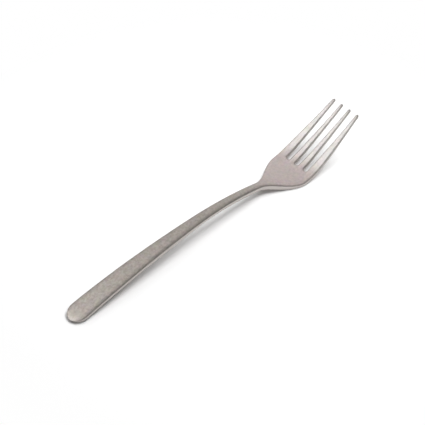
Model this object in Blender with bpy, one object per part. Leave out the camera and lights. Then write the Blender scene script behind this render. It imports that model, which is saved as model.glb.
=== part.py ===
"""Serving fork, stamped and pressed from one piece of stainless steel.

The fork is made the way a real one is: a flat blank with a paddle handle, a slim neck and a
head slotted into four tines is drawn down to its thickness, its edges are rolled over, and a
press bends it along its side profile. It then lies on the table, on the handle's end and the
bowl. Metres, +Z up, +X towards the tips, origin under the middle of the fork's box.
"""

import math

import bpy
import numpy as np

MM = 0.001

# Lengths along the flat blank, one after the other from the handle's end
HANDLE_LENGTH = 154.0 * MM
SHOULDER_LENGTH = 29.0 * MM
PALM_LENGTH = 5.0 * MM
TINE_LENGTH = 50.0 * MM
END_ROUND_LENGTH = 8.2 * MM
TIP_ROUND_LENGTH = 1.4 * MM

# Widths of the blank
HANDLE_END_WIDTH = 13.9 * MM
NECK_WIDTH = 5.5 * MM
HEAD_WIDTH = 30.2 * MM
TINE_TIP_WIDTH = 1.8 * MM
TINE_TIP_PITCH = 6.85 * MM
SLOT_PITCH = 7.55 * MM
SLOT_ROOT_WIDTH = 3.0 * MM
TINE_COUNT = 4

# How fast the half-width changes where the handle's taper starts and where the tines end
HANDLE_TAPER = -0.02
TIP_TAPER = -0.09

# Thickness at the handle's end, the neck, the widest part of the head and the tips
END_THICKNESS = 2.7 * MM
NECK_THICKNESS = 4.6 * MM
HEAD_THICKNESS = 2.4 * MM
TIP_THICKNESS = 1.6 * MM

# Rolled edges: how far in from the edge the surface starts to fall and by how much it falls, the
# most of a tine's width that one roll takes, and the flatter underside's share of the fall
HANDLE_ROLL_REACH = 3.5 * MM
HANDLE_ROLL_DROP = 0.9 * MM
HEAD_ROLL_REACH = 1.1 * MM
HEAD_ROLL_DROP = 0.6 * MM
TINE_ROLL_LIMIT = 0.3
UNDERSIDE_ROLL_SHARE = 0.5

# Side profile: the handle and neck arch up, the bowl turns back up into the tines
HANDLE_BEND_RADIUS = 530.0 * MM
NECK_BEND_RADIUS = 190.0 * MM
BOWL_BEND_RADIUS = 30.0 * MM
TINE_BEND_RADIUS = 500.0 * MM
NECK_BEND_LENGTH = 67.0 * MM
BOWL_BEND_LENGTH = 23.5 * MM
BOWL_RUN_OUT = 5.0 * MM
BEND_BLEND = 14.0 * MM

# The underside is worn flat by this much where it lies on the table
REST_LAND_DEPTH = 0.1 * MM

# Fineness of the mesh, and the stretch of it kept for the rings round the slots' roots
ROOT_MARGIN = 2.2 * MM
ROLL_STEPS = 3
END_STEPS = 8
HANDLE_STEPS = 28
SHOULDER_STEPS = 18
TINE_STEPS = 12
TIP_STEPS = 3
PROFILE_STEPS = 1200
SETTLE_STEPS = 12

# How far round its edge the handle's outermost column lies and a tip's last row reaches, and how
# far two faces turn before the edge between them is drawn sharp
EDGE_TURN = math.radians(84.0)
TIP_TURN = math.radians(75.0)
SHARP_TURN = math.radians(60.0)

STEEL_COLOUR = (0.5, 0.46, 0.43, 1.0)
STEEL_ROUGHNESS = 0.5

# Places along the blank that follow from the lengths
NECK = HANDLE_LENGTH
WIDEST = NECK + SHOULDER_LENGTH
SLOT_ROOT = WIDEST + PALM_LENGTH
SLOT_CENTRE = SLOT_ROOT + SLOT_ROOT_WIDTH / 2
TIP = SLOT_ROOT + TINE_LENGTH
LAST_FULL_ROW = SLOT_ROOT - ROOT_MARGIN
TIP_ROUND = TIP - TIP_ROUND_LENGTH
TINE_BEND_START = SLOT_ROOT + BOWL_RUN_OUT
BOWL_BEND_START = TINE_BEND_START - BOWL_BEND_LENGTH
NECK_BEND_START = BOWL_BEND_START - NECK_BEND_LENGTH
TINE_COLUMNS = 2 * (ROLL_STEPS + 1)
COLUMNS = TINE_COUNT * TINE_COLUMNS


def ease(value, start, end):
    """A smooth step from 0 at start to 1 at end."""
    share = np.clip((value - start) / (end - start), 0.0, 1.0)
    return share * share * (3.0 - 2.0 * share)


def mix(first, second, share):
    return first + (second - first) * share


def curve(place, start, end, slope_in=0.0, slope_out=0.0):
    """Cubic from start to end, each a (place, half-width), that leaves and arrives at the slopes."""
    length = end[0] - start[0]
    share = (place - start[0]) / length
    back = 1.0 - share
    level = mix(start[1], end[1], share * share * (3.0 - 2.0 * share))
    return level + length * share * back * (slope_in * back - slope_out * share)


def half_width(place):
    """Half-width of the blank's outline at a place along it."""
    end = (END_ROUND_LENGTH, HANDLE_END_WIDTH / 2)
    neck = (NECK, NECK_WIDTH / 2)
    widest = (WIDEST, HEAD_WIDTH / 2)
    tip = (TIP, (TINE_COUNT - 1) * TINE_TIP_PITCH / 2 + TINE_TIP_WIDTH / 2)
    if place < END_ROUND_LENGTH:
        return end[1] * math.sqrt(1.0 - (1.0 - place / END_ROUND_LENGTH) ** 2)
    if place < NECK:
        return curve(place, end, neck, slope_in=HANDLE_TAPER)
    if place < WIDEST:
        return curve(place, neck, widest)
    return curve(place, widest, tip, slope_out=TIP_TAPER)


def thickness(place):
    """Thickness of the drawn blank, least at the tips and most at the neck."""
    to_neck = mix(END_THICKNESS, NECK_THICKNESS, ease(place, 0.0, NECK))
    to_head = mix(to_neck, HEAD_THICKNESS, ease(place, NECK, WIDEST))
    return mix(to_head, TIP_THICKNESS, ease(place, WIDEST, TIP))


def headness(place):
    """0 on the handle and its neck, 1 on the head, where edges are crisp and columns follow tines."""
    return ease(place, NECK, WIDEST)


def roll_drop(distance, reach, drop):
    """How far the surface has fallen at a distance from the edge: a quarter of an ellipse."""
    share = np.clip(1.0 - distance / reach, 0.0, 1.0)
    return drop * (1.0 - np.sqrt(1.0 - share * share))


def roll_offsets(reach):
    """Distances from an edge, out to the reach, at even turns of the rolled surface."""
    turns = np.linspace(0.0, math.pi / 2, ROLL_STEPS + 1)
    return reach * (1.0 - np.cos(turns))


def slot_centre(index, place):
    """Sideways place of a slot's middle, where index 0 is the slot on the +Y side."""
    pitch = mix(SLOT_PITCH, TINE_TIP_PITCH, (place - SLOT_CENTRE) / (TIP - SLOT_CENTRE))
    return (TINE_COUNT / 2 - 1 - index) * pitch


def slot_width(place):
    at_tip = TINE_TIP_PITCH - TINE_TIP_WIDTH
    return mix(SLOT_ROOT_WIDTH, at_tip, (place - SLOT_CENTRE) / (TIP - SLOT_CENTRE))


def tine_edges(tine, place):
    """Sideways places of a tine's +Y and -Y edges."""
    outer = half_width(place)
    half_slot = slot_width(place) / 2
    high = outer if tine == 0 else slot_centre(tine - 1, place) - half_slot
    low = -outer if tine == TINE_COUNT - 1 else slot_centre(tine, place) + half_slot
    return high, low


def tine_columns(tine, place):
    """Sideways places of a tine's columns, +Y first, and each one's distance from its edge."""
    high, low = tine_edges(tine, place)
    offsets = roll_offsets(min(HEAD_ROLL_REACH, TINE_ROLL_LIMIT * (high - low)))
    sideways = np.concatenate([high - offsets, (low + offsets)[::-1]])
    return sideways, np.concatenate([offsets, offsets[::-1]])


def full_columns(place):
    """Sideways places of the columns across a whole row: evenly rounded on the handle, and
    running into the columns of the tines on the head."""
    turns = np.linspace(EDGE_TURN, -EDGE_TURN, COLUMNS)
    on_handle = np.sin(turns) / math.sin(EDGE_TURN)
    at = max(place, SLOT_CENTRE)
    on_head = np.concatenate([tine_columns(tine, at)[0] for tine in range(TINE_COUNT)])
    return half_width(place) * mix(on_handle, on_head / half_width(at), headness(place))


def point(place, sideways, fall, sunk=0.0):
    """A place on the blank with its two heights: the upper side's and the underside's."""
    lower = UNDERSIDE_ROLL_SHARE * fall + sunk - thickness(place)
    return place, sideways, -fall - sunk, lower


def full_row(place):
    """Points across a whole row of the blank, from +Y to -Y."""
    sideways = full_columns(place)
    outer = half_width(place)
    distance = outer - np.abs(sideways)
    if place < END_ROUND_LENGTH:
        outer = HANDLE_END_WIDTH / 2
        distance = outer - np.hypot(sideways, outer * (1.0 - place / END_ROUND_LENGTH))
    reach = mix(min(HANDLE_ROLL_REACH, outer), HEAD_ROLL_REACH, headness(place))
    drop = mix(HANDLE_ROLL_DROP, HEAD_ROLL_DROP, headness(place))
    falls = roll_drop(distance, reach, drop)
    return [point(place, side, fall) for side, fall in zip(sideways, falls)]


def tine_row(tine, place, shrink=1.0):
    """Points across one tine, drawn in to a share of its section at the rounded tip."""
    sideways, distance = tine_columns(tine, place)
    middle = (sideways[0] + sideways[-1]) / 2
    sunk = thickness(place) / 2 * (1.0 - shrink)
    reach = distance.max()
    falls = shrink * roll_drop(distance, reach, reach * HEAD_ROLL_DROP / HEAD_ROLL_REACH)
    return [
        point(place, mix(middle, side, shrink), fall, sunk) for side, fall in zip(sideways, falls)
    ]


def root_arc(slot, step):
    """Points round a slot's root, at one step of its rolled edge."""
    offset = roll_offsets(HEAD_ROLL_REACH)[step]
    radius = SLOT_ROOT_WIDTH / 2 + offset
    turns = np.linspace(0.0, math.pi, TINE_COLUMNS)
    fall = roll_drop(offset, HEAD_ROLL_REACH, HEAD_ROLL_DROP)
    middle = slot_centre(slot, SLOT_CENTRE)
    return [
        point(SLOT_CENTRE - radius * math.sin(turn), middle + radius * math.cos(turn), fall)
        for turn in turns
    ]


def strip(first, second):
    """Quads between two rows of point numbers."""
    return [
        (first[i], first[i + 1], second[i + 1], second[i]) for i in range(len(first) - 1)
    ]


class Sheet:
    """The blank's plan: points with both heights, and the upper side's faces seen from above."""

    def __init__(self):
        self.points = []
        self.faces = []

    def add(self, points):
        start = len(self.points)
        self.points.extend(points)
        return list(range(start, len(self.points)))

    def add_handle(self):
        """The handle, neck and palm, as whole rows. Returns the last row's point numbers."""
        turns = (np.arange(END_STEPS) + 0.5) * math.pi / 2 / END_STEPS
        places = [END_ROUND_LENGTH * (1.0 - math.cos(turn)) for turn in turns]
        places.extend(np.linspace(END_ROUND_LENGTH, NECK, HANDLE_STEPS, endpoint=False))
        places.extend(np.linspace(NECK, LAST_FULL_ROW, SHOULDER_STEPS))
        rows = [self.add(full_row(place)) for place in places]
        for first, second in zip(rows, rows[1:]):
            self.faces.extend(strip(first, second))
        return rows[-1]

    def add_tine(self, tine):
        """One tine with its rounded tip. Returns its first row's point numbers."""
        places = np.linspace(SLOT_CENTRE, TIP_ROUND, TINE_STEPS)
        rows = [self.add(tine_row(tine, place)) for place in places]
        for turn in np.linspace(0.0, TIP_TURN, TIP_STEPS + 1)[1:]:
            place = TIP_ROUND + TIP_ROUND_LENGTH * math.sin(turn)
            rows.append(self.add(tine_row(tine, place, shrink=math.cos(turn))))
        for first, second in zip(rows, rows[1:]):
            self.faces.extend(strip(first, second))
        return rows[0]

    def add_slot_root(self, slot, palm, before, after):
        """The rolled edge round a slot's root, from the palm's row to the tines on both sides."""
        start = slot * TINE_COLUMNS + ROLL_STEPS + 1
        outer = palm[start:start + TINE_COLUMNS]
        for step in reversed(range(ROLL_STEPS + 1)):
            arc = root_arc(slot, step)[1:-1]
            inner = [before[TINE_COLUMNS - 1 - step], *self.add(arc), after[step]]
            self.faces.extend(strip(outer, inner))
            outer = inner

    def join_tines(self, palm, roots):
        """The short stretch from the palm's last row to where the tines start."""
        for tine, root in enumerate(roots):
            first = 0 if tine == 0 else ROLL_STEPS
            last = TINE_COLUMNS if tine == TINE_COUNT - 1 else ROLL_STEPS + 2
            row = palm[tine * TINE_COLUMNS:(tine + 1) * TINE_COLUMNS]
            self.faces.extend(strip(row[first:last], root[first:last]))
        for slot in range(TINE_COUNT - 1):
            self.add_slot_root(slot, palm, roots[slot], roots[slot + 1])


def flat_blank():
    """Points and outward faces of the flat blank, both sides and the walls between them."""
    sheet = Sheet()
    palm = sheet.add_handle()
    roots = [sheet.add_tine(tine) for tine in range(TINE_COUNT)]
    sheet.join_tines(palm, roots)
    points = np.array(sheet.points)
    upper, lower = points[:, [0, 1, 2]], points[:, [0, 1, 3]]
    count = len(points)
    faces = list(sheet.faces)
    faces.extend(tuple(count + corner for corner in reversed(face)) for face in sheet.faces)
    edges = {(face[i - 1], face[i]) for face in sheet.faces for i in range(len(face))}
    rim = sorted(edge for edge in edges if edge[::-1] not in edges)
    faces.extend((a, count + a, count + b, b) for a, b in rim)
    return np.concatenate([upper, lower]), faces


def side_profile():
    """Distance along the blank, and the pressed profile's x, z and slope there."""
    along = np.linspace(0.0, TIP, PROFILE_STEPS)
    bends = [
        (NECK_BEND_START, -1.0 / HANDLE_BEND_RADIUS, -1.0 / NECK_BEND_RADIUS),
        (BOWL_BEND_START, -1.0 / NECK_BEND_RADIUS, 1.0 / BOWL_BEND_RADIUS),
        (TINE_BEND_START, 1.0 / BOWL_BEND_RADIUS, 1.0 / TINE_BEND_RADIUS),
    ]
    bend = np.full(PROFILE_STEPS, bends[0][1])
    for start, before, after in bends:
        share = np.clip((along - start) / BEND_BLEND + 0.5, 0.0, 1.0)
        bend += (after - before) * share

    def total(rate):
        steps = (rate[1:] + rate[:-1]) / 2 * np.diff(along)
        return np.concatenate([[0.0], np.cumsum(steps)])

    slope = total(bend)
    return along, total(np.cos(slope)), total(np.sin(slope)), slope


def press(points):
    """Bends the flat blank along the side profile."""
    along, profile_x, profile_z, profile_slope = side_profile()
    slope = np.interp(points[:, 0], along, profile_slope)
    x = np.interp(points[:, 0], along, profile_x) - points[:, 2] * np.sin(slope)
    z = np.interp(points[:, 0], along, profile_z) + points[:, 2] * np.cos(slope)
    return np.stack([x, points[:, 1], z], axis=1)


def turned(points, angle):
    """The points turned about +Y, so that a positive angle lifts the tips."""
    x = points[:, 0] * math.cos(angle) - points[:, 2] * math.sin(angle)
    z = points[:, 0] * math.sin(angle) + points[:, 2] * math.cos(angle)
    return np.stack([x, points[:, 1], z], axis=1)


def set_down(points):
    """Lays the fork on the table, on its handle's end and its bowl, with a worn land at both."""
    for _ in range(SETTLE_STEPS):
        middle = (points[:, 0].min() + points[:, 0].max()) / 2
        halves = (points[points[:, 0] < middle], points[points[:, 0] >= middle])
        heel, bowl = (half[half[:, 2].argmin()] for half in halves)
        points = turned(points, -math.atan2(bowl[2] - heel[2], bowl[0] - heel[0]))
    low, high = points.min(axis=0), points.max(axis=0)
    points = points - [(low[0] + high[0]) / 2, 0.0, low[2] + REST_LAND_DEPTH]
    points[:, 2] = np.maximum(points[:, 2], 0.0)
    return points


def clear_scene():
    for leftover in list(bpy.data.objects):
        bpy.data.objects.remove(leftover)


def stonewashed_steel():
    material = bpy.data.materials.new("stonewashed_steel")
    material.use_nodes = True
    shader = material.node_tree.nodes["Principled BSDF"]
    shader.inputs["Base Color"].default_value = STEEL_COLOUR
    shader.inputs["Metallic"].default_value = 1.0
    shader.inputs["Roughness"].default_value = STEEL_ROUGHNESS
    return material


def make_fork():
    blank, faces = flat_blank()
    mesh = bpy.data.meshes.new("fork")
    mesh.from_pydata(set_down(press(blank)).tolist(), [], faces)
    mesh.materials.append(stonewashed_steel())
    mesh.shade_smooth()
    mesh.set_sharp_from_angle(angle=SHARP_TURN)
    fork = bpy.data.objects.new("fork", mesh)
    bpy.context.scene.collection.objects.link(fork)
    return fork


clear_scene()
make_fork()
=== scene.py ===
# %% [markdown]
# # A serving fork in stonewashed steel
# The packed CAD part comes in as a fixed frame: it says how big the fork is and where it lies.
# Everything below is made in that frame, in metres, with +X towards the tips, +Z up and the table
# at height zero.

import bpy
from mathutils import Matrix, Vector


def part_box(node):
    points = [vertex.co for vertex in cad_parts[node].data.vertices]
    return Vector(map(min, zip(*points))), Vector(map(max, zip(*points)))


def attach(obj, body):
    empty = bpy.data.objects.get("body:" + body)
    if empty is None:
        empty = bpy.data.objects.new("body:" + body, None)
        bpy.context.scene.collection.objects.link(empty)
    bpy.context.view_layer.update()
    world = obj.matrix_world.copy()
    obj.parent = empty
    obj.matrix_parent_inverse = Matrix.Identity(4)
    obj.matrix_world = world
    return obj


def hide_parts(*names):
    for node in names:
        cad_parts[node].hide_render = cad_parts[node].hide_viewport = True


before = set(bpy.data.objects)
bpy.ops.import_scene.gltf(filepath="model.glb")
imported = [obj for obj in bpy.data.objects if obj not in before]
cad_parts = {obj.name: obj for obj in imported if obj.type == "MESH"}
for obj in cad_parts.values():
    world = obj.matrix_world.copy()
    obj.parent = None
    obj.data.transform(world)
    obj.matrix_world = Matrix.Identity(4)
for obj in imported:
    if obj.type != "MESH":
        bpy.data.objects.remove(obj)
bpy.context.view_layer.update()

# %% [markdown]
# ## The camera
# The picture is taken from about an arm's length away, across the fork, looking down at the table
# at 47 degrees. A long lens keeps the far tines nearly as large as the near handle. The camera is
# made first, because every later choice is judged through it.

# %% Camera
import math

import bpy
import numpy as np
from mathutils import Vector

MM = 0.001
LOOK_TURN = math.radians(42.39)
LOOK_DOWN = math.radians(47.09)
LOOK_AT = Vector((4.94, 7.39, 0.0)) * MM
LOOK_DISTANCE = 900.0 * MM
SENSOR_WIDTH = 36.0
LENS_LENGTH = 121.95

scene = bpy.context.scene
back = Vector((
    -math.sin(LOOK_TURN) * math.cos(LOOK_DOWN),
    -math.cos(LOOK_TURN) * math.cos(LOOK_DOWN),
    math.sin(LOOK_DOWN),
))
lens = bpy.data.cameras.new("camera")
lens.sensor_width = SENSOR_WIDTH
lens.lens = LENS_LENGTH
camera = bpy.data.objects.new("camera", lens)
camera.location = LOOK_AT + back * LOOK_DISTANCE
camera.rotation_euler = back.to_track_quat("Z", "Y").to_euler()
scene.collection.objects.link(camera)
scene.camera = camera
scene.view_settings.view_transform = "Standard"
print("camera at", [round(value, 3) for value in camera.location])

# %% [markdown]
# ## Two helpers
# Node trees are used twice here: to press the fork into shape and to give the steel its finish.
# One small function adds a node, sets it up and links it. Another turns the hex colours of a
# screen into the linear light that Blender works in.

# %% Node and colour helpers


def add_node(tree, kind, inputs=None, **settings):
    """Adds a node. Where a value in inputs is a node or a socket it is linked, else it is set."""
    node = tree.nodes.new(kind)
    for name, value in settings.items():
        setattr(node, name, value)
    for key, value in (inputs or {}).items():
        if isinstance(value, bpy.types.Node):
            value = value.outputs[0]
        if isinstance(value, bpy.types.NodeSocket):
            tree.links.new(value, node.inputs[key])
        else:
            node.inputs[key].default_value = value
    return node


def from_hex(text):
    """Linear RGBA of an sRGB colour written as #RRGGBB."""
    parts = [int(text[i:i + 2], 16) / 255 for i in (1, 3, 5)]
    linear = [p / 12.92 if p <= 0.04045 else ((p + 0.055) / 1.055) ** 2.4 for p in parts]
    return (*linear, 1.0)


print("middle grey #808080 is", round(from_hex("#808080")[0], 3), "in linear light")

# %% [markdown]
# ## The steel
# The fork is stainless steel, tumbled with stones after it was pressed. That leaves a warm satin
# grey with no mirror image in it. A colour ramp along the fork's own X gives six stops: pinker
# and paler at the palm, paler still and nearly neutral on the tines, grey again at the tips. The
# pink is the steel's own; the paleness of palm and tines is partly painted gleam, the light their
# tops catch.

# %% Steel: tone and painted gleam along the fork
HANDLE_STEEL = "#AAA39D"
# The palm and tine colours are paler partly as painted gleam, the light that the head catches.
PALM_STEEL_WITH_PAINTED_GLEAM = "#C1B6B3"
TINE_STEEL_WITH_PAINTED_GLEAM = "#C6C2BF"
TIP_STEEL = "#A8A4A1"
TONES_WITH_PAINTED_GLEAM = (
    (28.0, HANDLE_STEEL), (50.0, PALM_STEEL_WITH_PAINTED_GLEAM), (70.0, PALM_STEEL_WITH_PAINTED_GLEAM),
    (82.0, TINE_STEEL_WITH_PAINTED_GLEAM), (106.0, TINE_STEEL_WITH_PAINTED_GLEAM), (114.0, TIP_STEEL),
)

steel = bpy.data.materials.new("stonewashed_stainless_steel")
steel.use_nodes = True
tree = steel.node_tree
shader = tree.nodes["Principled BSDF"]
place = add_node(tree, "ShaderNodeTexCoord").outputs["Object"]
first, last = TONES_WITH_PAINTED_GLEAM[0][0], TONES_WITH_PAINTED_GLEAM[-1][0]
along = add_node(
    tree, "ShaderNodeMapRange",
    {"Value": add_node(tree, "ShaderNodeSeparateXYZ", {"Vector": place}),
     "From Min": first * MM, "From Max": last * MM},
)
# This ramp paints the head's gleam into the colour, together with the palm's own pink tint.
tone_with_painted_gleam = add_node(tree, "ShaderNodeValToRGB", {"Fac": along})
stops = tone_with_painted_gleam.color_ramp.elements
for at, _ in TONES_WITH_PAINTED_GLEAM[1:-1]:
    stops.new((at - first) / (last - first))
for stop, (_, text) in zip(stops, TONES_WITH_PAINTED_GLEAM):
    stop.color = from_hex(text)
print("steel", steel.name, "with", len(stops), "tones along the fork")

# %% [markdown]
# The stones also leave the surface mottled. Wide faint patches lean a little to brown, pink or
# green, so they take the colour of a noise and lay it over the tone. Smaller dents are darker or
# paler: their noise multiplies the colour, and later it also sets the roughness and the bump.
# They are shallower on the head. Real dents are a few tenths of a millimetre wide and are drawn
# about four times coarser here, so that the picture shows them.

# %% Steel: patches and dents
PATCH_SIZE = 4.0 * MM
PATCH_STRENGTH = 0.09
DENT_SIZE = 1.7 * MM
DENT_SHADE = 0.21
HEAD_DENT_START = 0.3
HEAD_DENT_SHARE = 0.6
NOISE_LOW, NOISE_HIGH = 0.3, 0.7

patches = add_node(
    tree, "ShaderNodeTexNoise",
    {"Vector": place, "Scale": 1 / PATCH_SIZE, "Detail": 2.0, "Roughness": 0.6},
)
patched = add_node(
    tree, "ShaderNodeMix", {0: PATCH_STRENGTH, 6: tone_with_painted_gleam, 7: patches.outputs["Color"]},
    data_type="RGBA", blend_type="OVERLAY",
)
dents = add_node(
    tree, "ShaderNodeTexNoise",
    {"Vector": place, "Scale": 1 / DENT_SIZE, "Detail": 3.0, "Roughness": 0.65},
)
shade = add_node(
    tree, "ShaderNodeMapRange",
    {"Value": dents, "From Min": NOISE_LOW, "From Max": NOISE_HIGH,
     "To Min": 1.0 - DENT_SHADE, "To Max": 1.0 + DENT_SHADE},
)
depth = add_node(
    tree, "ShaderNodeMapRange",
    {"Value": along, "From Max": HEAD_DENT_START, "To Min": 1.0, "To Max": HEAD_DENT_SHARE},
)
body_colour = add_node(
    tree, "ShaderNodeMix", {0: depth, 6: patched.outputs[2], 7: shade},
    data_type="RGBA", blend_type="MULTIPLY",
)
print("patches of", PATCH_SIZE / MM, "mm, dents of", DENT_SIZE / MM, "mm")

# %% [markdown]
# The scuffs of the tumbling stones are real scratches a few hundredths of a millimetre wide.
# That is too fine to show in a picture of a whole fork, so they are drawn about a third of a
# millimetre wide. Noise that is stretched ten times one way gives streaks, and three turns of it
# give scuffs that cross each other.

# %% Steel: scuffs
SCUFF_WIDTH = 0.35 * MM
SCUFF_LENGTH = 4.0 * MM
SCUFF_TURNS = (20.0, 75.0, 140.0)
SCUFF_LOW, SCUFF_HIGH = 0.62, 0.74

scuffs = None
for turn in SCUFF_TURNS:
    turned_place = add_node(
        tree, "ShaderNodeMapping",
        {"Vector": place, "Rotation": (0.0, 0.0, math.radians(turn)),
         "Scale": (1 / SCUFF_LENGTH, 1 / SCUFF_WIDTH, 1 / SCUFF_LENGTH)},
    )
    streak = add_node(
        tree, "ShaderNodeTexNoise",
        {"Vector": turned_place, "Scale": 1.0, "Detail": 1.0, "Roughness": 0.5},
    )
    line = add_node(
        tree, "ShaderNodeMapRange",
        {"Value": streak, "From Min": SCUFF_LOW, "From Max": SCUFF_HIGH},
    )
    scuffs = line if scuffs is None else add_node(
        tree, "ShaderNodeMath", {0: scuffs, 1: line}, operation="MAXIMUM",
    )
print("scuff directions", SCUFF_TURNS)

# %% [markdown]
# The worn edges read a value that the mesh carries: how far each point is from the nearest edge
# of the blank. Hands and plates rub the rolled edges back to smooth bare steel, which shows the
# dark of the room more clearly and so draws a fine line round the fork. The worn colour is also
# painted light: the side walls lie wholly in the mask, so it sets their brightness. It is paler
# than the handle, a painted sheen on its walls, and darker than the palm and tines, a painted
# shade line.

# %% Steel: worn edges with painted edge light, roughness and bump
WORN_STEEL_AND_PAINTED_EDGE_LIGHT = "#B6B1AD"
WEAR_AND_PAINTED_LIGHT_REACH = 0.4 * MM
WEAR_AND_PAINTED_LIGHT_STRENGTH = 0.8
ROUGHNESS = 0.5
DENT_ROUGHNESS = 0.05
SCUFF_ROUGHNESS = 0.06
WORN_ROUGHNESS = -0.20
DENT_RELIEF = 0.06 * MM
SCUFF_RELIEF = 0.03 * MM

edge = add_node(tree, "ShaderNodeAttribute", attribute_name="edge_distance")
wear_and_painted_edge_light = add_node(
    tree, "ShaderNodeMapRange",
    {"Value": edge.outputs["Fac"], "From Min": 0.0, "From Max": WEAR_AND_PAINTED_LIGHT_REACH,
     "To Min": WEAR_AND_PAINTED_LIGHT_STRENGTH, "To Max": 0.0},
    interpolation_type="SMOOTHSTEP",
)
# Painted light: the worn colour sets the side walls' brightness, a painted sheen on the handle
# and a painted shade line on the head.
colour = add_node(
    tree, "ShaderNodeMix",
    {0: wear_and_painted_edge_light, 6: body_colour.outputs[2], 7: from_hex(WORN_STEEL_AND_PAINTED_EDGE_LIGHT)},
    data_type="RGBA",
)
rough = add_node(
    tree, "ShaderNodeMapRange",
    {"Value": dents, "From Min": NOISE_LOW, "From Max": NOISE_HIGH,
     "To Min": ROUGHNESS - DENT_ROUGHNESS, "To Max": ROUGHNESS + DENT_ROUGHNESS},
)
for marks, change in ((scuffs, SCUFF_ROUGHNESS), (wear_and_painted_edge_light, WORN_ROUGHNESS)):
    rough = add_node(
        tree, "ShaderNodeMath", {0: marks, 1: change, 2: rough}, operation="MULTIPLY_ADD",
    )
ripple = add_node(
    tree, "ShaderNodeBump", {"Strength": 0.5, "Distance": DENT_RELIEF, "Height": dents},
)
relief = add_node(
    tree, "ShaderNodeBump",
    {"Strength": 0.6, "Distance": SCUFF_RELIEF, "Height": scuffs, "Normal": ripple},
    invert=True,
)
shader.inputs["Metallic"].default_value = 1.0
tree.links.new(colour.outputs[2], shader.inputs["Base Color"])
tree.links.new(rough.outputs[0], shader.inputs["Roughness"])
tree.links.new(relief.outputs[0], shader.inputs["Normal"])
print("steel has", len(tree.nodes), "nodes")

# %% [markdown]
# ## The blank's outline
# A fork starts as a flat blank, stamped from sheet. Its outline is a rounded handle end, a long
# taper to the neck, a shoulder that flares into the head, and a slow taper to the tips. Three
# slots leave four tines. A few curves describe all of it, so the outline is written as functions
# of the place along the blank.

# %% Outline of the blank
HANDLE_LENGTH = 154.0 * MM
SHOULDER_LENGTH = 29.0 * MM
PALM_LENGTH = 5.0 * MM
TINE_LENGTH = 50.0 * MM
END_ROUND_LENGTH = 8.2 * MM
HANDLE_END_WIDTH = 13.9 * MM
NECK_WIDTH = 5.5 * MM
HEAD_WIDTH = 30.2 * MM
TINE_COUNT = 4
TINE_TIP_WIDTH = 1.8 * MM
TINE_TIP_PITCH = 6.85 * MM
HANDLE_TAPER = -0.02
TIP_TAPER = -0.09
NECK = HANDLE_LENGTH
WIDEST = NECK + SHOULDER_LENGTH
SLOT_ROOT = WIDEST + PALM_LENGTH
TIP = SLOT_ROOT + TINE_LENGTH


def ease(value, start, end):
    """A smooth step from 0 at start to 1 at end."""
    share = np.clip((value - start) / (end - start), 0.0, 1.0)
    return share * share * (3.0 - 2.0 * share)


def mix(first, second, share):
    """The value that lies a share of the way from first to second."""
    return first + (second - first) * share


def curve(place, start, end, slope_in=0.0, slope_out=0.0):
    """Cubic between two (place, half-width) points with the slopes given at both."""
    length = end[0] - start[0]
    share = (place - start[0]) / length
    bulge = slope_in * (1.0 - share) - slope_out * share
    return mix(start[1], end[1], ease(share, 0.0, 1.0)) + length * share * (1.0 - share) * bulge


def half_width(place):
    """Half-width of the blank's outline at a place along it."""
    end = (END_ROUND_LENGTH, HANDLE_END_WIDTH / 2)
    neck = (NECK, NECK_WIDTH / 2)
    widest = (WIDEST, HEAD_WIDTH / 2)
    tip = (TIP, (TINE_COUNT - 1) * TINE_TIP_PITCH / 2 + TINE_TIP_WIDTH / 2)
    if place < END_ROUND_LENGTH:
        return end[1] * math.sqrt(1.0 - (1.0 - place / END_ROUND_LENGTH) ** 2)
    if place < NECK:
        return curve(place, end, neck, slope_in=HANDLE_TAPER)
    if place < WIDEST:
        return curve(place, neck, widest)
    return curve(place, widest, tip, slope_out=TIP_TAPER)


print("blank", round(TIP / MM, 1), "mm long, head", HEAD_WIDTH / MM, "mm wide")

# %% [markdown]
# ## Thickness and rolled edges
# Rolling mills draw the blank down: thick at the neck, where it would bend, and thin at the
# tips. Then its edges are rolled over. The rolled edge is a quarter of an ellipse: wide and
# gentle on the handle, tight on the head. The underside is rolled half as much as the top,
# except at the neck. There it is rounded through half the thickness, because that is where
# fingers close round the fork.

# %% Thickness and roll
END_THICKNESS = 2.7 * MM
NECK_THICKNESS = 4.6 * MM
HEAD_THICKNESS = 2.4 * MM
TIP_THICKNESS = 1.6 * MM
HANDLE_ROLL_REACH = 3.5 * MM
HANDLE_ROLL_DROP = 0.9 * MM
HEAD_ROLL_REACH = 1.1 * MM
HEAD_ROLL_DROP = 0.6 * MM
TINE_ROLL_LIMIT = 0.3
UNDERSIDE_ROLL_SHARE = 0.5
NECK_ROUND_DROP = 2.3 * MM
NECK_ROUND_IN = (75.0 * MM, 115.0 * MM)
NECK_ROUND_OUT = (150.0 * MM, 170.0 * MM)
ROLL_STEPS = 6


def thickness(place):
    """Thickness of the blank at a place along it."""
    to_neck = mix(END_THICKNESS, NECK_THICKNESS, ease(place, 0.0, NECK))
    to_head = mix(to_neck, HEAD_THICKNESS, ease(place, NECK, WIDEST))
    return mix(to_head, TIP_THICKNESS, ease(place, WIDEST, TIP))


def headness(place):
    """0 on the handle and its neck, 1 on the head."""
    return ease(place, NECK, WIDEST)


def roll_drop(distance, reach, drop):
    """How far the surface has fallen at a distance from the edge."""
    share = np.clip(1.0 - distance / reach, 0.0, 1.0)
    return drop * (1.0 - np.sqrt(1.0 - share * share))


def roll_offsets(reach):
    """Distances from an edge, out to the reach, at even turns of the rolled surface."""
    turns = np.linspace(0.0, math.pi / 2, ROLL_STEPS + 1)
    return reach * (1.0 - np.cos(turns))


def point(place, sideways, distance, fall, rise, sunk=0.0):
    """A point of the blank: its place in plan, both heights, and its distance from the edge."""
    return place, sideways, -fall - sunk, rise + sunk - thickness(place), distance


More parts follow.
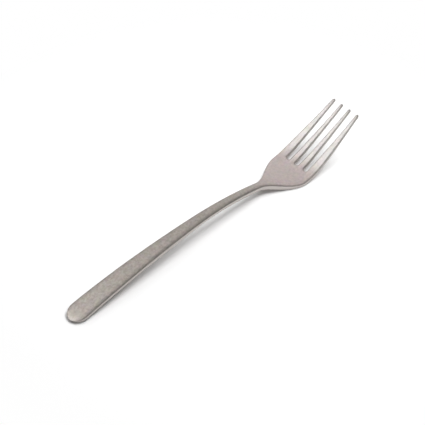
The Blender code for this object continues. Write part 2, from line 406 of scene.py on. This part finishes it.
print("neck is", NECK_THICKNESS / MM, "mm thick, tips", TIP_THICKNESS / MM, "mm")

# %% [markdown]
# ## Tines and slots
# The slots widen towards the tips while their spacing closes up a little, so the inner tines
# taper on both sides and the outer tines lean in. Each tine gets the same number of columns of
# points, with most of them in the rolled edges, where the surface turns fastest.

# %% Rows across the tines
SLOT_PITCH = 7.55 * MM
SLOT_ROOT_WIDTH = 3.0 * MM
SLOT_CENTRE = SLOT_ROOT + SLOT_ROOT_WIDTH / 2
TINE_COLUMNS = 2 * (ROLL_STEPS + 1)


def slot_centre(slot, place):
    """Sideways place of a slot's middle. Slot 0 is the one on the +Y side."""
    share = (place - SLOT_CENTRE) / (TIP - SLOT_CENTRE)
    return (TINE_COUNT / 2 - 1 - slot) * mix(SLOT_PITCH, TINE_TIP_PITCH, share)


def slot_width(place):
    """Width of every slot at a place along the blank."""
    share = (place - SLOT_CENTRE) / (TIP - SLOT_CENTRE)
    return mix(SLOT_ROOT_WIDTH, TINE_TIP_PITCH - TINE_TIP_WIDTH, share)


def tine_columns(tine, place):
    """Sideways places of a tine's columns, +Y first, and each one's distance from its edge."""
    outer, half_slot = half_width(place), slot_width(place) / 2
    high = outer if tine == 0 else slot_centre(tine - 1, place) - half_slot
    low = -outer if tine == TINE_COUNT - 1 else slot_centre(tine, place) + half_slot
    offsets = roll_offsets(min(HEAD_ROLL_REACH, TINE_ROLL_LIMIT * (high - low)))
    sideways = np.concatenate([high - offsets, (low + offsets)[::-1]])
    return sideways, np.concatenate([offsets, offsets[::-1]])


def tine_row(tine, place, shrink=1.0):
    """Points across one tine, drawn in to a share of its section at the rounded tip."""
    sideways, distance = tine_columns(tine, place)
    middle = (sideways[0] + sideways[-1]) / 2
    sunk = thickness(place) / 2 * (1.0 - shrink)
    reach = distance.max()
    falls = shrink * roll_drop(distance, reach, reach * HEAD_ROLL_DROP / HEAD_ROLL_REACH)
    drawn_in = mix(middle, sideways, shrink)
    values = zip(drawn_in, distance, falls, UNDERSIDE_ROLL_SHARE * falls)
    return [point(place, *value, sunk) for value in values]


def root_arc(slot, step):
    """Points round a slot's root, at one step of its rolled edge."""
    offset = roll_offsets(HEAD_ROLL_REACH)[step]
    radius = SLOT_ROOT_WIDTH / 2 + offset
    fall = roll_drop(offset, HEAD_ROLL_REACH, HEAD_ROLL_DROP)
    rise = UNDERSIDE_ROLL_SHARE * fall
    turns = np.linspace(0.0, math.pi, TINE_COLUMNS)
    places = SLOT_CENTRE - radius * np.sin(turns)
    sideways = slot_centre(slot, SLOT_CENTRE) + radius * np.cos(turns)
    return [point(*value, offset, fall, rise) for value in zip(places, sideways)]


tip_gap = round(slot_width(TIP) / MM, 2)
print("slots", SLOT_ROOT_WIDTH / MM, "mm wide at the root,", tip_gap, "mm at the tips")

# %% [markdown]
# ## Rows across the handle and palm
# On the handle the columns crowd towards the edges, as points on a turned circle do. On the head
# they run into the columns of the tines, so that the palm and the tines share one mesh with no
# seam.

# %% Rows across the whole blank
EDGE_TURN = math.radians(84.0)
COLUMNS = TINE_COUNT * TINE_COLUMNS


def full_columns(place):
    """Sideways places of the columns across a whole row, from +Y to -Y."""
    turns = np.linspace(EDGE_TURN, -EDGE_TURN, COLUMNS)
    on_handle = np.sin(turns) / math.sin(EDGE_TURN)
    at = max(place, SLOT_CENTRE)
    on_head = np.concatenate([tine_columns(tine, at)[0] for tine in range(TINE_COUNT)])
    return half_width(place) * mix(on_handle, on_head / half_width(at), headness(place))


def full_row(place):
    """Points across a whole row of the blank."""
    sideways = full_columns(place)
    outer = half_width(place)
    distance = outer - np.abs(sideways)
    if place < END_ROUND_LENGTH:
        outer = HANDLE_END_WIDTH / 2
        distance = outer - np.hypot(sideways, outer * (1.0 - place / END_ROUND_LENGTH))
    reach = mix(min(HANDLE_ROLL_REACH, outer), HEAD_ROLL_REACH, headness(place))
    drop = mix(HANDLE_ROLL_DROP, HEAD_ROLL_DROP, headness(place))
    necked = ease(place, *NECK_ROUND_IN) - ease(place, *NECK_ROUND_OUT)
    under = mix(UNDERSIDE_ROLL_SHARE * drop, NECK_ROUND_DROP, necked)
    falls, rises = roll_drop(distance, reach, drop), roll_drop(distance, reach, under)
    return [point(place, *value) for value in zip(sideways, distance, falls, rises)]


print(COLUMNS, "columns across the handle")

# %% [markdown]
# ## Rows along the blank
# The rows lie close together where the outline turns fast: at the round end of the handle, in
# the shoulder and at the tips. Each tip is rounded by rows that draw in towards the tine's
# middle.

# %% Rows along the blank
ROOT_MARGIN = 2.2 * MM
END_STEPS = 16
HANDLE_STEPS = 110
SHOULDER_STEPS = 48
TINE_STEPS = 40
TIP_STEPS = 8
TIP_ROUND_LENGTH = 1.4 * MM
TIP_TURN = math.radians(82.0)


def full_places():
    """Places along the blank of its whole rows, up to just before the slots."""
    turns = (np.arange(END_STEPS) + 0.5) * math.pi / 2 / END_STEPS
    places = list(END_ROUND_LENGTH * (1.0 - np.cos(turns)))
    places.extend(np.linspace(END_ROUND_LENGTH, NECK, HANDLE_STEPS, endpoint=False))
    places.extend(np.linspace(NECK, SLOT_ROOT - ROOT_MARGIN, SHOULDER_STEPS))
    return places


def tine_rows(tine):
    """One tine's rows of points, with its rounded tip."""
    tip_round = TIP - TIP_ROUND_LENGTH
    rows = [tine_row(tine, place) for place in np.linspace(SLOT_CENTRE, tip_round, TINE_STEPS)]
    for turn in np.linspace(0.0, TIP_TURN, TIP_STEPS + 1)[1:]:
        place = tip_round + TIP_ROUND_LENGTH * math.sin(turn)
        rows.append(tine_row(tine, place, shrink=math.cos(turn)))
    return rows


print(len(full_places()), "rows up to the slots,", len(tine_rows(0)), "rows on each tine")

# %% [markdown]
# ## The flat blank as a mesh
# Rows of points become strips of four-sided faces. A small class keeps the points and faces of
# the blank's top while strips, grids and rings are added to it.

# %% Sheet of points and faces


class Sheet:
    """The blank seen from above: its points and faces."""

    def __init__(self):
        self.points, self.faces = [], []

    def add_row(self, row):
        self.points.extend(row)
        return list(range(len(self.points) - len(row), len(self.points)))

    def add_strip(self, first, second):
        self.faces.extend(
            (first[i], first[i + 1], second[i + 1], second[i]) for i in range(len(first) - 1)
        )

    def add_rows(self, rows):
        """Adds a grid of points with its faces, and returns the numbers of each row."""
        numbers = [self.add_row(row) for row in rows]
        for first, second in zip(numbers, numbers[1:]):
            self.add_strip(first, second)
        return numbers

    def add_root(self, slot, palm, before, after):
        """The rings round a slot's root, from the palm's last row to the tines on both sides."""
        start = slot * TINE_COLUMNS + ROLL_STEPS + 1
        outer = palm[start:start + TINE_COLUMNS]
        for step in reversed(range(ROLL_STEPS + 1)):
            arc = self.add_row(root_arc(slot, step)[1:-1])
            inner = [before[TINE_COLUMNS - 1 - step], *arc, after[step]]
            self.add_strip(outer, inner)
            outer = inner


print("a sheet has", [name for name in vars(Sheet) if name.startswith("add")])

# %% [markdown]
# The handle and palm are one grid, each tine is another, and rings round the slot roots join
# them. The underside repeats the faces the other way round, and every edge that has a face on
# one side only gets a wall down to the underside.

# %% Build the flat blank
sheet = Sheet()
palm = sheet.add_rows([full_row(place) for place in full_places()])[-1]
roots = [sheet.add_rows(tine_rows(tine))[0] for tine in range(TINE_COUNT)]
for tine, root in enumerate(roots):
    first = 0 if tine == 0 else ROLL_STEPS
    last = TINE_COLUMNS if tine == TINE_COUNT - 1 else ROLL_STEPS + 2
    row = palm[tine * TINE_COLUMNS:(tine + 1) * TINE_COLUMNS]
    sheet.add_strip(row[first:last], root[first:last])
for slot in range(TINE_COUNT - 1):
    sheet.add_root(slot, palm, roots[slot], roots[slot + 1])

blank = np.array(sheet.points)
count = len(blank)
faces = list(sheet.faces)
faces += [tuple(count + corner for corner in reversed(face)) for face in sheet.faces]
sides = {(face[i - 1], face[i]) for face in sheet.faces for i in range(len(face))}
faces += [(a, count + a, count + b, b) for a, b in sorted(sides) if (b, a) not in sides]
flat_mesh = bpy.data.meshes.new("flat_blank")
flat_mesh.from_pydata(np.concatenate([blank[:, :3], blank[:, [0, 1, 3]]]).tolist(), [], faces)
edge_distance = flat_mesh.attributes.new("edge_distance", "FLOAT", "POINT")
edge_distance.data.foreach_set("value", np.tile(blank[:, 4], 2).astype(np.float32))
flat_blank = bpy.data.objects.new("flat_blank", flat_mesh)
scene.collection.objects.link(flat_blank)
print("flat blank", len(flat_mesh.vertices), "points", len(flat_mesh.polygons), "faces")

# %% [markdown]
# ## The press
# A press bends the flat blank along its side profile: the handle and neck arch up, and the bowl
# turns back up into the tines. The rule is a bend, one over the radius, that changes from
# stretch to stretch. Geometry Nodes can follow such a rule: a line of points adds up the bend
# into a slope, and the slope into a profile curve. Every point of the blank is then carried to
# its own length along that curve.

# %% Press tree
PROFILE_STEPS = 1200
BEND_BLEND = 14.0 * MM
HANDLE_BEND_RADIUS = 530.0 * MM
NECK_BEND_RADIUS = 190.0 * MM
NECK_BEND_LENGTH = 67.0 * MM
BOWL_BEND_RADIUS = 30.0 * MM
BOWL_BEND_LENGTH = 23.5 * MM
TINE_BEND_RADIUS = 500.0 * MM
TINE_BEND_START = SLOT_ROOT + 5.0 * MM
BOWL_BEND_START = TINE_BEND_START - BOWL_BEND_LENGTH
NECK_BEND_START = BOWL_BEND_START - NECK_BEND_LENGTH
PRESS_SIZES = {
    "Length": TIP,
    "Blend": BEND_BLEND,
    "Handle Bend": -1 / HANDLE_BEND_RADIUS,
    "Neck Start": NECK_BEND_START,
    "Neck Bend": -1 / NECK_BEND_RADIUS,
    "Bowl Start": BOWL_BEND_START,
    "Bowl Bend": 1 / BOWL_BEND_RADIUS,
    "Tine Start": TINE_BEND_START,
    "Tine Bend": 1 / TINE_BEND_RADIUS,
}

press = bpy.data.node_groups.new("press", "GeometryNodeTree")
press.interface.new_socket("Blank", in_out="INPUT", socket_type="NodeSocketGeometry")
for name in PRESS_SIZES:
    press.interface.new_socket(name, in_out="INPUT", socket_type="NodeSocketFloat")
press.interface.new_socket("Fork", in_out="OUTPUT", socket_type="NodeSocketGeometry")
given = add_node(press, "NodeGroupInput").outputs
print("press takes", [socket.name for socket in given if socket.name])

# %% [markdown]
# The first half of the tree makes the profile curve. Each point of the line looks half a step
# ahead, so the sums follow the middle of each step.

# %% Press tree: profile curve
end_point = add_node(press, "ShaderNodeCombineXYZ", {"X": given["Length"]})
line = add_node(press, "GeometryNodeCurvePrimitiveLine", {"End": end_point})
line = add_node(press, "GeometryNodeResampleCurve", {"Curve": line, "Count": PROFILE_STEPS + 1})
step = add_node(
    press, "ShaderNodeMath", {0: given["Length"], 1: float(PROFILE_STEPS)}, operation="DIVIDE",
)
ahead = add_node(
    press, "ShaderNodeMath", {0: add_node(press, "GeometryNodeInputIndex"), 1: 0.5},
    operation="ADD",
)
ahead = add_node(press, "ShaderNodeMath", {0: ahead, 1: step}, operation="MULTIPLY")
bend = given["Handle Bend"]
for stretch in ("Neck", "Bowl", "Tine"):
    start = add_node(
        press, "ShaderNodeMath",
        {0: given["Blend"], 1: -0.5, 2: given[stretch + " Start"]}, operation="MULTIPLY_ADD",
    )
    stop = add_node(
        press, "ShaderNodeMath",
        {0: given["Blend"], 1: 0.5, 2: given[stretch + " Start"]}, operation="MULTIPLY_ADD",
    )
    bend = add_node(
        press, "ShaderNodeMapRange",
        {"Value": ahead, "From Min": start, "From Max": stop,
         "To Min": bend, "To Max": given[stretch + " Bend"]},
    )
turn = add_node(press, "ShaderNodeMath", {0: bend, 1: step}, operation="MULTIPLY")
turned = add_node(press, "GeometryNodeAccumulateField", {0: turn}).outputs["Trailing"]
slope = add_node(press, "ShaderNodeMath", {0: turn, 1: 0.5, 2: turned}, operation="MULTIPLY_ADD")
forward = add_node(
    press, "ShaderNodeCombineXYZ",
    {"X": add_node(press, "ShaderNodeMath", {0: slope}, operation="COSINE"),
     "Z": add_node(press, "ShaderNodeMath", {0: slope}, operation="SINE")},
)
forward = add_node(press, "ShaderNodeVectorMath", {0: forward, "Scale": step}, operation="SCALE")
travelled = add_node(
    press, "GeometryNodeAccumulateField", {0: forward}, data_type="FLOAT_VECTOR",
).outputs["Trailing"]
profile = add_node(press, "GeometryNodeSetPosition", {"Geometry": line, "Position": travelled})
print("profile rule in", len(press.nodes), "nodes")

# %% [markdown]
# The second half carries the blank's points over. A point's x is its length along the profile,
# its z is its height above the profile, and its y stays.

# %% Press tree: carry the blank
corner = add_node(
    press, "ShaderNodeSeparateXYZ", {"Vector": add_node(press, "GeometryNodeInputPosition")},
).outputs
along = add_node(
    press, "GeometryNodeSampleCurve", {"Curves": profile, "Length": corner["X"]}, mode="LENGTH",
).outputs
up = add_node(
    press, "ShaderNodeVectorMath", {0: along["Tangent"], 1: (0.0, 1.0, 0.0)},
    operation="CROSS_PRODUCT",
)
raised = add_node(
    press, "ShaderNodeVectorMath", {0: up, 1: corner["Z"], 2: along["Position"]},
    operation="MULTIPLY_ADD",
)
across = add_node(press, "ShaderNodeCombineXYZ", {"Y": corner["Y"]})
landed = add_node(press, "ShaderNodeVectorMath", {0: raised, 1: across}, operation="ADD")
shaped = add_node(
    press, "GeometryNodeSetPosition", {"Geometry": given["Blank"], "Position": landed},
)
shaped = add_node(press, "GeometryNodeRealizeInstances", {"Geometry": shaped})
shaped = add_node(press, "GeometryNodeSetMaterial", {"Geometry": shaped, "Material": steel})
add_node(press, "NodeGroupOutput", {"Fork": shaped})
print("press tree has", len(press.nodes), "nodes")

# %% [markdown]
# The sizes go into the modifier by each socket's identifier, before Blender first evaluates it.
# The result is then copied out as a plain mesh, and the flat blank with its modifier is thrown
# away.

# %% Press the blank
pressing = flat_blank.modifiers.new("press", "NODES")
pressing.node_group = press
for socket in press.interface.items_tree:
    if socket.name in PRESS_SIZES:
        pressing[socket.identifier] = PRESS_SIZES[socket.name]
graph = bpy.context.evaluated_depsgraph_get()
fork_mesh = bpy.data.meshes.new_from_object(
    flat_blank.evaluated_get(graph), preserve_all_data_layers=True, depsgraph=graph,
)
fork_mesh.name = "serving_fork"
bpy.data.objects.remove(flat_blank)
points = np.empty(len(fork_mesh.vertices) * 3)
fork_mesh.vertices.foreach_get("co", points)
points = points.reshape(-1, 3)
print("pressed fork", [round(value / MM, 2) for value in np.ptp(points, axis=0)], "mm")

# %% [markdown]
# ## Lay the fork on the table
# A fork lies on two places: the end of its handle and the bottom of its bowl. It is turned about
# Y until the lowest points of its two halves are level, a few times over because the lowest
# points move as it turns. The two places get a flat land a tenth of a millimetre deep, as use
# wears them.

# %% Lay it down
SETTLE_STEPS = 12
REST_LAND_DEPTH = 0.1 * MM

for _ in range(SETTLE_STEPS):
    middle = (points[:, 0].min() + points[:, 0].max()) / 2
    halves = (points[points[:, 0] < middle], points[points[:, 0] >= middle])
    heel, bowl = (half[half[:, 2].argmin()] for half in halves)
    tilt = -math.atan2(bowl[2] - heel[2], bowl[0] - heel[0])
    x = points[:, 0] * math.cos(tilt) - points[:, 2] * math.sin(tilt)
    z = points[:, 0] * math.sin(tilt) + points[:, 2] * math.cos(tilt)
    points = np.stack([x, points[:, 1], z], axis=1)
low, high = points.min(axis=0), points.max(axis=0)
points -= [(low[0] + high[0]) / 2, 0.0, low[2] + REST_LAND_DEPTH]
points[:, 2] = np.maximum(points[:, 2], 0.0)
fork_mesh.vertices.foreach_set("co", points.ravel())
fork_mesh.update()
fork_mesh.shade_smooth()
fork = bpy.data.objects.new("serving_fork", fork_mesh)
scene.collection.objects.link(fork)
fork_box = np.stack([points.min(axis=0), points.max(axis=0)])
off = np.abs(fork_box - np.array(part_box("fork"))) / MM
print("off the CAD box by", off.round(3).tolist(), "mm")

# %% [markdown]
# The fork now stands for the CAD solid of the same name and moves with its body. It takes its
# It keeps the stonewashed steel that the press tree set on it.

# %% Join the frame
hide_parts("fork")
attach(fork, "root")
print("fork has", sum(len(face.vertices) - 2 for face in fork_mesh.polygons), "triangles")

# %% [markdown]
# ## The table
# The fork lies on a white table, one large flat face a hair below it. Its paint is fully matt,
# so it takes the soft shadow and shows no gloss of its own.

# %% Table
TABLE_SIZE = 3.0
TABLE_GAP = 0.02 * MM
TABLE_WHITE = "#F9F9F9"

side = TABLE_SIZE / 2
corners = [(side * x, side * y, -TABLE_GAP) for x, y in ((-1, -1), (1, -1), (1, 1), (-1, 1))]
table_mesh = bpy.data.meshes.new("table")
table_mesh.from_pydata(corners, [], [(0, 1, 2, 3)])
table = bpy.data.objects.new("table", table_mesh)
scene.collection.objects.link(table)
white = bpy.data.materials.new("matt_white_table")
white.use_nodes = True
paint = white.node_tree.nodes["Principled BSDF"]
paint.inputs["Base Color"].default_value = from_hex(TABLE_WHITE)
paint.inputs["Roughness"].default_value = 1.0
paint.inputs["Specular IOR Level"].default_value = 0.0
table_mesh.materials.append(white)
print("table", TABLE_SIZE, "m wide,", TABLE_WHITE)

# %% [markdown]
# Close to the fork the table stays paint. Further out it fades to plain white for the camera and
# for reflections, as white paper does that is lit from behind. So no grey edge shows from any
# side, and no lamp has to be turned up for it.

# %% Table: fade to white
SHADOW_REACH = 0.12
WHITE_REACH = 0.20

tree = white.node_tree
away = add_node(
    tree, "ShaderNodeVectorMath", {0: add_node(tree, "ShaderNodeTexCoord").outputs["Object"]},
    operation="LENGTH",
).outputs["Value"]
fade = add_node(
    tree, "ShaderNodeMapRange",
    {"Value": away, "From Min": SHADOW_REACH, "From Max": WHITE_REACH},
    interpolation_type="SMOOTHSTEP",
)
ray = add_node(tree, "ShaderNodeLightPath").outputs
seen = ray["Is Camera Ray"]
for kind in ("Is Glossy Ray", "Is Transmission Ray"):
    seen = add_node(
        tree, "ShaderNodeMath", {0: seen, 1: ray[kind]}, operation="MAXIMUM",
    ).outputs[0]
fade = add_node(tree, "ShaderNodeMath", {0: fade, 1: seen}, operation="MULTIPLY")
glow = add_node(tree, "ShaderNodeEmission", {"Color": (1.0, 1.0, 1.0, 1.0), "Strength": 1.0})
top = add_node(tree, "ShaderNodeMixShader", {0: fade, 1: paint, 2: glow})
tree.links.new(top.outputs[0], tree.nodes["Material Output"].inputs["Surface"])
print("table fades to white from", SHADOW_REACH, "m to", WHITE_REACH, "m")

# %% [markdown]
# ## The light
# Steel shows what is around it, so three lamps are chosen by what they do to the steel. The left
# one makes the tines gleam, the back one lights the palm and the handle, and the low one on the
# right reaches the neck, where the fork slopes down. The side towards the viewer has no lamp,
# which leaves the near edges dark. Two more lamps light only the table: the main one, high
# beyond the tines, makes the soft shadow under the fork, and a weak one behind the fork draws it
# a little towards the viewer. A lamp that lit both would have to suit both, so each is hidden
# from the other.

# %% Light
ROOM_LIGHT = 0.33

room = bpy.data.worlds.new("room")
room.use_nodes = True
walls = room.node_tree.nodes["Background"].inputs
walls["Color"].default_value = (1.0, 1.0, 1.0, 1.0)
walls["Strength"].default_value = ROOM_LIGHT
scene.world = room


def add_softbox(name, place, width, height, power, shown_to):
    """A flat lamp that faces the fork and lights the steel or the table, in metres and watts."""
    lamp = bpy.data.lights.new(name, "AREA")
    lamp.shape = "RECTANGLE"
    lamp.size, lamp.size_y = width, height
    lamp.energy = power
    box = bpy.data.objects.new(name, lamp)
    box.location = place
    box.rotation_euler = Vector(place).to_track_quat("Z", "Y").to_euler()
    box.visible_glossy = shown_to == "steel"
    box.visible_diffuse = shown_to == "table"
    scene.collection.objects.link(box)


add_softbox("left_softbox", (-1.1, 0.75, 1.5), 1.2, 1.2, 17.5, "steel")
add_softbox("right_softbox", (1.5, 0.94, 0.88), 1.2, 1.2, 5.0, "steel")
add_softbox("back_softbox", (0.0, 1.15, 1.64), 2.8, 0.9, 9.0, "steel")
add_softbox("table_main_softbox", (0.62, -0.13, 1.14), 0.75, 0.75, 15.0, "table")
add_softbox("table_back_softbox", (0.56, 0.6, 1.04), 1.0, 1.0, 3.6, "table")

# %% [markdown]
# ## Sizes and finish
# The dressed fork has to stay inside the CAD part's box.
